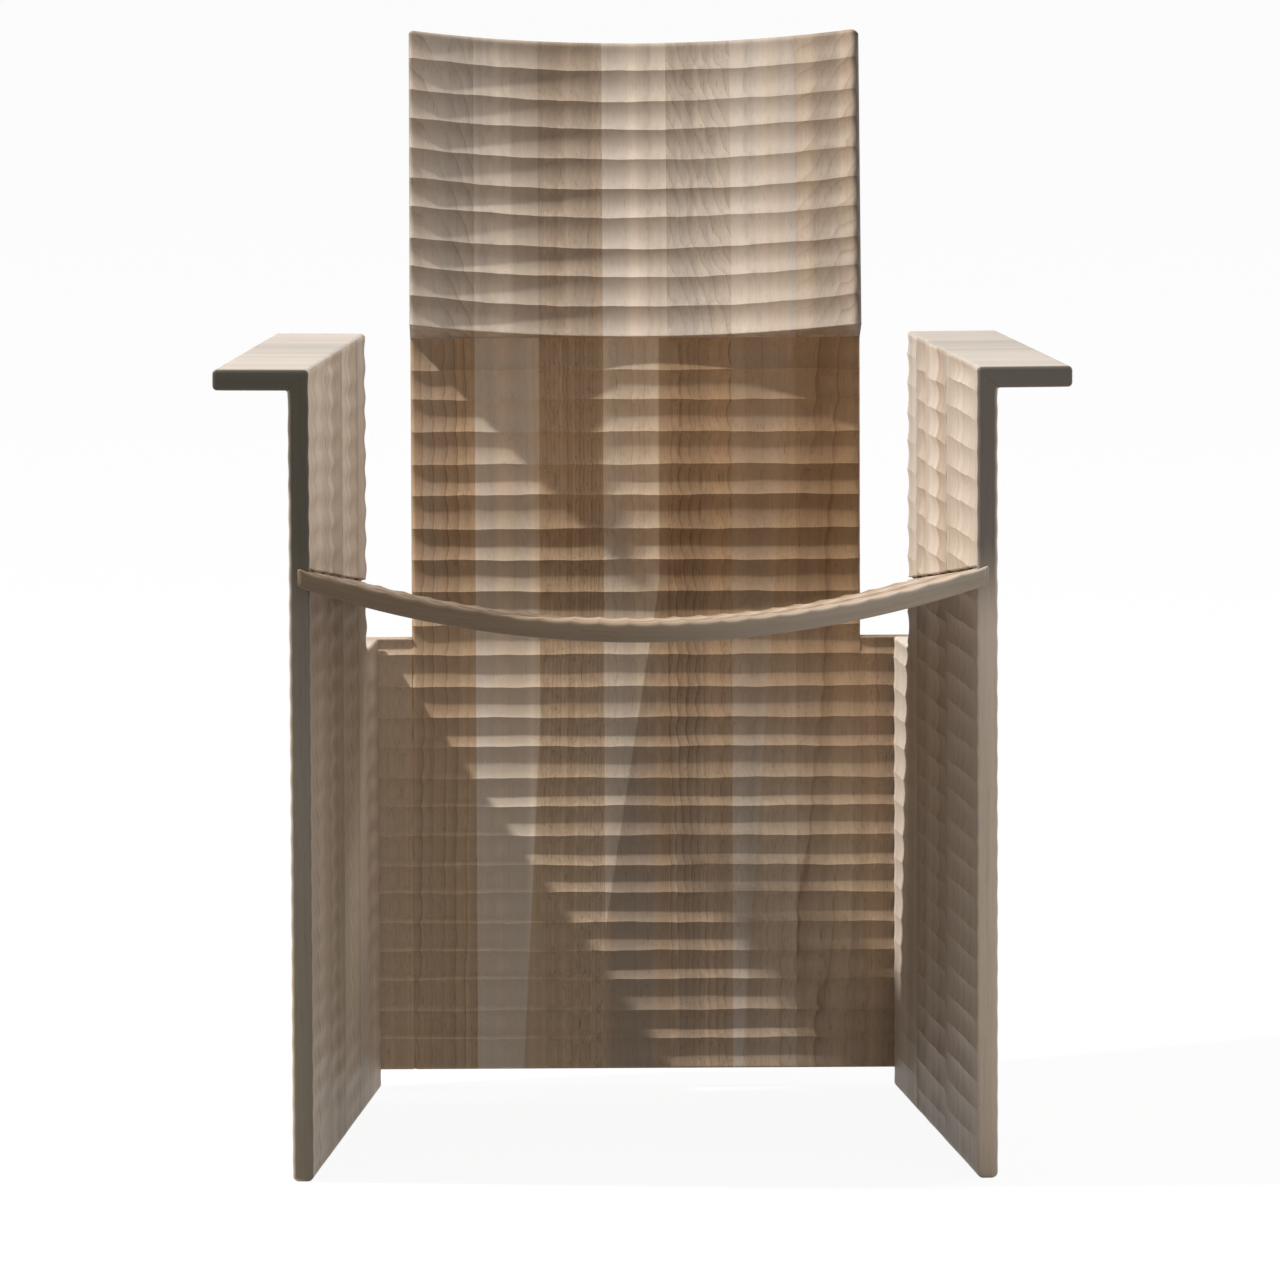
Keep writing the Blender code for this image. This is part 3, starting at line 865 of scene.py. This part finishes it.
def panel_place(sign, distance, height=0.0):
    """A place on a panel's inner face, at a distance behind its front edge."""
    rearwards = Vector((-sign * math.sin(SIDE_TOE_IN), math.cos(SIDE_TOE_IN), 0.0))
    return Vector((sign * SIDE_HALF_WIDTH, 0.0, height)) + rearwards * distance


def upright(sign, distance):
    """The matrix of an upright stave of a panel."""
    return placed(UP.cross(-outwards_of(sign)), UP, panel_place(sign, distance))


def panel_stave(sign, index):
    """Width of a side or arm stave, its middle along the panel, and the rounding of its two edges."""
    width = SIDE_LENGTH / SIDE_STAVES
    front_round = SIDE_ROUND if index == 0 else 0.0
    rear_round = SIDE_ROUND if index == SIDE_STAVES - 1 else 0.0
    rounds = (front_round, rear_round) if sign < 0 else (rear_round, front_round)
    return width, (index + 0.5) * width, rounds


def end_steps(radius):
    return [radius * step for step in ROUND_STEPS] if radius else [0.0]


def mitre_steps(radius):
    return [radius * step for step in MITRE_STEPS]


def front_edge(sign, index):
    """1 at the side or arm stave's edge that is the chair's front edge, where shade is painted, and 0
    elsewhere.
    """
    if index > 0:
        return (0.0, 0.0)
    return (1.0, 0.0) if sign < 0 else (0.0, 1.0)


def front_edge_painted_shade(side):
    """Painted shade on a panel's front edge, with less of it below the seat, where the edge is painted paler.
    """
    least = LOW_EDGE_PAINTED_SHADE[side]
    return lambda y: least + (1.0 - least) * np.clip((y - SEAT_HEIGHT) / PAINTED_SHADE_FADE, 0.0, 1.0)


def scoop_of(side, index):
    """Number of the scoop that a side stave lies in, the places across where it ends, and its depth.

    The last scoop is shallower and runs out a little over the panel's rear end.
    """
    width = SIDE_LENGTH / SIDE_STAVES
    first = 0
    for number, count in enumerate(SIDE_SCOOPS[side]):
        last = first + count
        if index < last:
            start = first * width
            end = BACK_FACE if last > SIDE_STAVES else last * width
            overrun = SIDE_OVERRUN * (end - start) if last > SIDE_STAVES else 0.0
            share = REAR_SCOOP_SHARE if last > SIDE_STAVES else 1.0
            return number, (start, end + overrun), SIDE_GOUGE[side] * share
        first = last


def panel_rows(side, sign, index, tops, count):
    """Rows of a side or rear stave's inner and outer face, shifted against those of the next scoop."""
    scoop, span, depth = scoop_of(side, index)
    shift = SIDE_SHIFT[side] * math.sin(SCOOP_TURN * scoop + SIDE_TURN * sign + FIRST_TURN)
    seed = scoop + SIDE_ROW_SEED * sign
    inner = Rows(0.0, tops[0], SIDE_ROW, depth, seed, shift, span, count=count, soft=sign < 0)
    seed += OUTER_ROW_SEED
    outer = Rows(0.0, tops[1], SIDE_ROW, OUTER_GOUGE, seed, shift, span, count=count, soft=True)
    return inner, outer


def constant(height):
    return lambda across, y: np.full_like(y, height)


def above_step(y):
    """Share of the rear edge's rounding: none below the step, where another stave is glued to it."""
    return np.clip((y - STEP_HEIGHT) / SIDE_ROUND, 0.0, 1.0)


def seat_line(across):
    """Height at which the seat's top meets a side panel's inner face."""
    rise = arc_rise(SIDE_HALF_WIDTH - across * math.sin(SIDE_TOE_IN), SIDE_HALF_WIDTH, SEAT_SAG)
    return SEAT_HEIGHT - across * math.cos(SIDE_TOE_IN) * math.tan(SEAT_SLOPE) + rise / math.cos(SEAT_SLOPE)


def seat_slot(across, y):
    """Depth of the gap above the seat, which starts behind the panel's front edge."""
    above = y - seat_line(across)
    inside = np.clip(above / SLOT_STEP, 0.0, 1.0) * np.clip((SLOT_HEIGHT - above) / SLOT_STEP, 0.0, 1.0)
    return SLOT_DEPTH * inside * np.clip((across - SLOT_START) / SLOT_START, 0.0, 1.0)


def build_side_stave(side, sign, index, seed):
    """One upright stave of a side panel, with the gap above the seat cut into its inner face."""
    width, middle, (left, right) = panel_stave(sign, index)
    ends = (ARM_TOP, ARM_TOP - BOARD)
    high_rounds = (ARM_ROUND, -ARM_FILLET)
    tops = [end - MITRE_SHARE * abs(high) for end, high in zip(ends, high_rounds)]
    both_rows = panel_rows(side, sign, index, tops, round(ARM_TOP / SIDE_ROW))
    faces = []
    for rows, end, high, level in zip(both_rows, ends, high_rounds, (0.0, BOARD)):
        face = Face(rows, constant(level), (0.0, end), left, right, FOOT_ROUND, high)
        # Painted shade on the front edge, with less of it below the seat
        face.dark = front_edge(sign, index)
        face.dark_fade = front_edge_painted_shade(side)
        face.side_fade = above_step if index == SIDE_STAVES - 1 else None
        faces.append(face)
    front, back = faces
    front.dark_turn = INNER_PAINTED_SHADE[side]
    back.dark_turn = OUTER_PAINTED_SHADE
    front.groove = seat_slot
    slot_top = float(seat_line(middle - width / 2)) + SLOT_HEIGHT + SLOT_STEP
    slot_foot = float(seat_line(middle + width / 2)) - SLOT_STEP
    slot_places = np.arange(slot_foot, slot_top, SLOT_STEP)
    stations = stations_of(front.rows, end_steps(FOOT_ROUND), mitre_steps(ARM_ROUND), slot_places, middle)
    node = f"{side}_side_stave_{index + 1}"
    mesh = board_mesh(node, faces, even_grids(front, width, middle, -sign), stations)
    # Painted shade on the front edge, and painted light and shade on the panel's lower part
    wood = replace(SIDE_WOODS[index], edge=PAINTED_EDGE_SHADES[side], along=SIDE_PAINTED_FEET[side])
    add_stave(node, mesh, upright(sign, middle), wood_material(node, wood, seed))


def build_arm_stave(side, sign, index, seed):
    """One cross stave of an arm, smooth on both faces and mitred to the side stave below it."""
    width, middle, (left, right) = panel_stave(sign, index)
    faces = []
    for level, low_round in ((0.0, ARM_ROUND), (BOARD, -ARM_FILLET)):
        rows = Rows(level + MITRE_SHARE * abs(low_round), ARM_WIDTH, ARM_WIDTH, 0.0, seed)
        face = Face(rows, constant(level), (level, ARM_WIDTH), left, right, low_round, ARM_ROUND)
        # Painted shade on the arm's front edge
        face.dark = front_edge(sign, index)
        face.dark_turn = ARM_PAINTED_SHADE
        faces.append(face)
    top = faces[0]
    stations = stations_of(top.rows, mitre_steps(ARM_ROUND), end_steps(ARM_ROUND))
    node = f"{side}_arm_stave_{index + 1}"
    mesh = board_mesh(node, faces, even_grids(top, width, middle, -sign), stations)
    outwards = outwards_of(sign)
    matrix = placed(outwards.cross(UP), outwards, panel_place(sign, middle, ARM_TOP))
    wood = replace(ARM_WOODS[index], edge=PAINTED_EDGE_SHADES[side])
    add_stave(node, mesh, matrix, wood_material(node, wood, seed))


def build_rear_stave(side, sign, seed):
    """The short stave behind a side panel, cut off square to the chair where the back board lies on it."""
    inner_end = BACK_FACE / math.cos(SIDE_TOE_IN)
    outer_end = (BACK_FACE - BOARD * math.sin(SIDE_TOE_IN)) / math.cos(SIDE_TOE_IN)
    tops = (STEP_HEIGHT, STEP_HEIGHT)
    both_rows = panel_rows(side, sign, SIDE_STAVES, tops, round(STEP_HEIGHT / SIDE_ROW))
    faces = []
    grids = []
    for rows, level, end in zip(both_rows, (0.0, BOARD), (inner_end, outer_end)):
        faces.append(Face(rows, constant(level), (0.0, STEP_HEIGHT), low=FOOT_ROUND, high=SIDE_ROUND))
        xs = np.sort(-sign * (np.linspace(SIDE_LENGTH, end, REAR_COLUMNS) - SIDE_LENGTH))
        grids.append((xs, SIDE_LENGTH - sign * xs))
    stations = stations_of(faces[0].rows, end_steps(FOOT_ROUND), end_steps(SIDE_ROUND))
    node = f"{side}_rear_stave"
    mesh = board_mesh(node, faces, grids, stations)
    material = wood_material(node, REAR_WOODS[side], seed)
    add_stave(node, mesh, upright(sign, SIDE_LENGTH), material)


# Seat


def seat_half(depth):
    """Half the seat's length at a place across it, out to a depth inside the toed-in side panels."""
    reach = SIDE_HALF_WIDTH + depth / math.cos(SIDE_TOE_IN)
    return lambda across: reach - across * math.cos(SEAT_SLOPE) * math.tan(SIDE_TOE_IN)


def build_seat_slat(index, seed):
    """One slat of the seat, bent to the arc of the seat, with its grain from side to side."""
    length = SIDE_LENGTH * math.cos(SIDE_TOE_IN) / math.cos(SEAT_SLOPE) + SEAT_PROUD
    width = length / SEAT_SLATS
    middle = (index + 0.5) * width - SEAT_PROUD
    first = index == 0
    rear_round = SEAT_ROUND if index == SEAT_SLATS - 1 else 0.0
    front_round = SEAT_ROUND if first else 0.0
    half = seat_half(SEAT_END_DEPTH)

    def low(across):
        return -half(across)

    def top_level(across, y):
        return arc_rise(y, SIDE_HALF_WIDTH, SEAT_SAG)

    def under_level(across, y):
        return SEAT_THICKNESS - arc_rise(y, SIDE_HALF_WIDTH, SEAT_SAG)

    faces = []
    for level, depth, row_seed in zip((top_level, under_level), (SEAT_GOUGE, 0.0), SEAT_ROW_SEEDS):
        rows = Rows(low, half, SEAT_ROW, depth, row_seed)
        face = Face(rows, level, (low, half), rear_round, front_round, front_round, front_round)
        # Painted shade on the front slat's front edge
        face.dark = (0.0, float(first))
        faces.append(face)
    top, under = faces
    under.dark_turn = SEAT_PAINTED_SHADE
    stations = stations_of(top.rows, end_steps(SEAT_ROUND), end_steps(SEAT_ROUND))
    node = f"seat_slat_{index + 1}"
    mesh = board_mesh(node, faces, even_grids(top, width, middle, -1), stations)
    down = Vector((0.0, math.cos(SEAT_SLOPE), -math.sin(SEAT_SLOPE)))
    matrix = placed(-down, RIGHT, UP * SEAT_HEIGHT + down * middle)
    add_stave(node, mesh, matrix, wood_material(node, SEAT_WOODS[index], seed))


# Back board and headrest


def joint_fade(least):
    """Share of a back stave's side rounding, which is least below the step, where a wing is glued to it."""
    return lambda y: least + (1.0 - least) * np.clip((y - STEP_HEIGHT) / BACK_ROUND, 0.0, 1.0)


def build_back_stave(node, span, tops, rounds, wood, seed, side_fade=None):
    """One upright stave of the back board between two places across it, up to its front and rear tops."""
    start, end = span
    left, right, high = rounds
    faces = []
    for joint, top, level, row_seed in zip(HEAD_JOINTS, tops, (0.0, BACK_THICKNESS), BACK_ROW_SEEDS):
        rows = Rows(BACK_BOTTOM, joint, BACK_ROW, BACK_GOUGE, row_seed, stop=top, sink=BACK_SINK)
        face = Face(rows, constant(level), (BACK_BOTTOM, top), left, right, BACK_ROUND, high)
        face.side_fade = side_fade
        faces.append(face)
    front = faces[0]
    middle = (start + end) / 2
    stations = stations_of(front.rows, end_steps(BACK_ROUND), end_steps(high))
    mesh = board_mesh(node, faces, even_grids(front, end - start, middle, 1), stations)
    matrix = placed(RIGHT, UP, (middle, BACK_FACE, 0.0))
    add_stave(node, mesh, matrix, wood_material(node, wood, seed))


def build_head_stave(node, span, rounds, wood, seed):
    """One stave of the headrest, hollowed from side to side on its front."""
    start, end = span
    left, right = rounds

    def front_level(across, y):
        return HEAD_PROUD - HEAD_DEEPER + arc_rise(across, BACK_WIDTH / 2, HEAD_HOLLOW + HEAD_DEEPER)

    faces = []
    levels = (front_level, constant(HEAD_SEAT))
    for level, low_round, row_seed in zip(levels, (HEAD_UNDER_ROUND, 0.0), HEAD_ROW_SEEDS):
        rows = Rows(0.0, HEAD_LENGTH, HEAD_ROW, HEAD_GOUGE, row_seed)
        face = Face(rows, level, (0.0, HEAD_LENGTH), left, right, low_round, HEAD_ROUND)
        # Painted shade on the headrest's right edge
        face.dark = (0.0, float(right > 0.0))
        faces.append(face)
    front = faces[0]
    front.straight_edge = right > 0.0
    front.dark_turn = HEAD_PAINTED_SHADE
    middle = (start + end) / 2
    stations = stations_of(front.rows, end_steps(HEAD_UNDER_ROUND), end_steps(HEAD_ROUND))
    mesh = board_mesh(node, faces, even_grids(front, end - start, middle, 1), stations)
    up = Vector((0.0, math.sin(HEAD_TILT), math.cos(HEAD_TILT)))
    matrix = placed(RIGHT, up, (middle, BACK_FACE, HEAD_JOINT))
    add_stave(node, mesh, matrix, wood_material(node, wood, seed))


def build_back():
    """The staves of the back board, and on each its stave of the headrest."""
    width = BACK_WIDTH / BACK_STAVES
    for index, slot in enumerate(BACK_SLOTS):
        start = index * width - BACK_WIDTH / 2
        span = (start, start + width)
        first = index == 0
        last = index == BACK_STAVES - 1
        fade = joint_fade(LEFT_JOINT_ROUND * first) if first or last else None
        rounds = (BACK_LEFT_ROUND * first, BACK_ROUND * last, 0.0)
        node = f"back_stave_{index + 1}"
        build_back_stave(node, span, HEAD_JOINTS, rounds, BACK_WOODS[index], BACK_SEED + index, fade)
        rounds = (HEAD_LEFT_ROUND * first, HEAD_RIGHT_ROUND * last)
        node = f"headrest_stave_{index + 1}"
        build_head_stave(node, span, rounds, HEAD_WOODS[index], HEAD_SEED + index)


def build_wings():
    """The short staves on both sides of the back board, behind the side panels."""
    panel_face = SIDE_HALF_WIDTH - BACK_FACE * math.tan(SIDE_TOE_IN)
    wing_end = panel_face + BOARD / math.cos(SIDE_TOE_IN) + BACK_WING_OVERHANG
    tops = (STEP_HEIGHT, STEP_HEIGHT)
    for seed, side, span, rounds in (
        (WING_SEED, "left", (-wing_end, -BACK_WIDTH / 2), (BACK_ROUND, 0.0, BACK_ROUND)),
        (WING_SEED + 1, "right", (BACK_WIDTH / 2, wing_end), (0.0, BACK_ROUND, BACK_ROUND)),
    ):
        build_back_stave(f"{side}_back_wing", span, tops, rounds, WING_WOODS[side], seed)


# Floor, light and camera


FLOOR_RADIUS = 40.0
FLOOR_SEGMENTS = 96
FLOOR_ROUGHNESS = 0.9
FLOOR_SHINE = 0.1

# The floor's colour where it is seen and where it only throws light back, and its share of white when seen
FLOOR_SEEN = (0.92, 0.92, 0.92, 1.0)
FLOOR_LIT = (0.45, 0.44, 0.43, 1.0)
FLOOR_GLOW = 0.93

# The world's light on surfaces: its level ahead, how it grows to the right, rear and top, and its least
FILL_COLOUR = (1.0, 0.985, 0.965, 1.0)
FILL_LEVEL = 0.27
FILL_SLOPE = (0.15, 0.12, 0.34)
FILL_LEAST = 0.05
WHITE = (1.0, 1.0, 1.0, 1.0)

# Lamps: name, place, power and radius, and for a spot the place it points at and the degrees of its cone
LAMP_COLOUR = (1.0, 0.985, 0.96)
LAMPS = (
    ("key", (-1.50, 0.15, 2.20), 47.0, 0.045),
    ("side_fill", (1.70, 1.00, 1.30), 11.0, 0.30),
    ("low_fill", (0.45, -1.90, 0.25), 5.5, 0.10, (0.14, 0.10, 0.22), 26.0),
    ("high_fill", (0.35, 0.45, 2.90), 15.0, 0.15, (-0.13, 0.52, 0.77), 13.0),
)

CAMERA_LENS = 284.07
CAMERA_SENSOR = 36.0
CAMERA_REACH = 100.0
CAMERA_PLACE = (-0.0972, -8.014, 1.2044)
CAMERA_TILT = math.radians(5.484)
CAMERA_TURN = math.radians(0.674)
CAMERA_ROLL = math.radians(-0.207)


def seen_share(nodes):
    """1 for what the camera sees directly, in a reflection or through glass, and 0 for light on surfaces."""
    path = nodes.add("ShaderNodeLightPath").outputs
    reflected = nodes.math("MAXIMUM", path["Is Camera Ray"], path["Is Glossy Ray"])
    return nodes.math("MAXIMUM", reflected, path["Is Transmission Ray"])


def build_floor():
    """A pale floor that fades into the white world, with the chair's shadow faint on it."""
    mesh = bpy.data.meshes.new("floor")
    shape = bmesh.new()
    bmesh.ops.create_circle(shape, cap_ends=True, segments=FLOOR_SEGMENTS, radius=FLOOR_RADIUS)
    shape.to_mesh(mesh)
    shape.free()
    floor = add_object("floor", mesh)
    nodes = Nodes(bpy.data.materials.new("floor"))
    shader = nodes.named("Principled BSDF")
    seen = seen_share(nodes)
    nodes.feed(shader.inputs["Base Color"], nodes.mix(seen, FLOOR_LIT, FLOOR_SEEN))
    shader.inputs["Roughness"].default_value = FLOOR_ROUGHNESS
    shader.inputs["Specular IOR Level"].default_value = FLOOR_SHINE
    glow = nodes.add("ShaderNodeEmission", {"Strength": 1.0}).outputs[0]
    share = nodes.math("MULTIPLY", seen, FLOOR_GLOW)
    surface = nodes.add("ShaderNodeMixShader", {0: share, 1: shader.outputs[0], 2: glow})
    nodes.feed(nodes.named("Material Output").inputs[0], surface.outputs[0])
    mesh.materials.append(nodes.owner)


def build_world():
    """White where it is seen. Its light on surfaces is a soft fill, weakest from the front and the left."""
    world = bpy.data.worlds.new("studio")
    bpy.context.scene.world = world
    nodes = Nodes(world)
    fill = nodes.named("Background")
    fill.inputs["Color"].default_value = FILL_COLOUR
    slope = nodes.dot(nodes.add("ShaderNodeTexCoord").outputs["Generated"], FILL_SLOPE)
    level = nodes.math("MAXIMUM", nodes.math("ADD", slope, FILL_LEVEL), FILL_LEAST)
    nodes.feed(fill.inputs["Strength"], level)
    white = nodes.add("ShaderNodeBackground", {"Color": WHITE, "Strength": 1.0}).outputs[0]
    surface = nodes.add("ShaderNodeMixShader", {0: seen_share(nodes), 1: fill.outputs[0], 2: white})
    nodes.feed(nodes.named("World Output").inputs[0], surface.outputs[0])


def build_lamp(name, place, power, radius, aim=None, cone=0.0):
    """A lamp whose light doesn't weaken with distance: round, or a soft cone of light towards a place."""
    light = bpy.data.lights.new(name, "SPOT" if cone else "POINT")
    light.energy = power
    light.shadow_soft_size = radius
    light.color = LAMP_COLOUR
    nodes = Nodes(light)
    falloff = nodes.add("ShaderNodeLightFalloff", {"Strength": 1.0})
    nodes.feed(nodes.named("Emission").inputs["Strength"], falloff.outputs["Constant"])
    lamp = add_object(name, light)
    lamp.location = in_frame(place)
    if cone:
        light.spot_size = math.radians(cone)
        light.spot_blend = 1.0
        lamp.rotation_euler = (Vector(aim) - Vector(place)).to_track_quat("-Z", "Y").to_euler()


def build_camera():
    lens = bpy.data.cameras.new("camera")
    lens.sensor_width = CAMERA_SENSOR
    lens.lens = CAMERA_LENS
    lens.clip_end = CAMERA_REACH
    camera = add_object("camera", lens)
    camera.location = in_frame(CAMERA_PLACE)
    aim = Euler((math.pi / 2 - CAMERA_TILT, 0.0, -CAMERA_TURN)).to_matrix()
    camera.rotation_euler = (aim @ Matrix.Rotation(CAMERA_ROLL, 3, "Z")).to_euler()
    bpy.context.scene.camera = camera


# The whole scene

for side, sign in (("left", -1), ("right", 1)):
    on_right = sign > 0
    for index in range(SIDE_STAVES):
        number = index + RIGHT_SEED * on_right
        build_side_stave(side, sign, index, SIDE_SEED + number)
        build_arm_stave(side, sign, index, ARM_SEED + number)
    build_rear_stave(side, sign, REAR_SEED + on_right)
for index in range(SEAT_SLATS):
    build_seat_slat(index, SEAT_SEED + index)
build_back()
build_wings()

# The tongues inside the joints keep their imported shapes
TONGUES = ("left_arm_spline", "right_arm_spline", "left_back_tongue", "right_back_tongue", "headrest_tongue")
for number, node in enumerate(TONGUES):
    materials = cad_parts[node].data.materials
    materials.clear()
    materials.append(wood_material(node, Wood("brown"), TONGUE_SEED + number))

build_floor()
build_world()
for lamp in LAMPS:
    build_lamp(*lamp)
build_camera()
bpy.context.scene.view_settings.view_transform = "Standard"
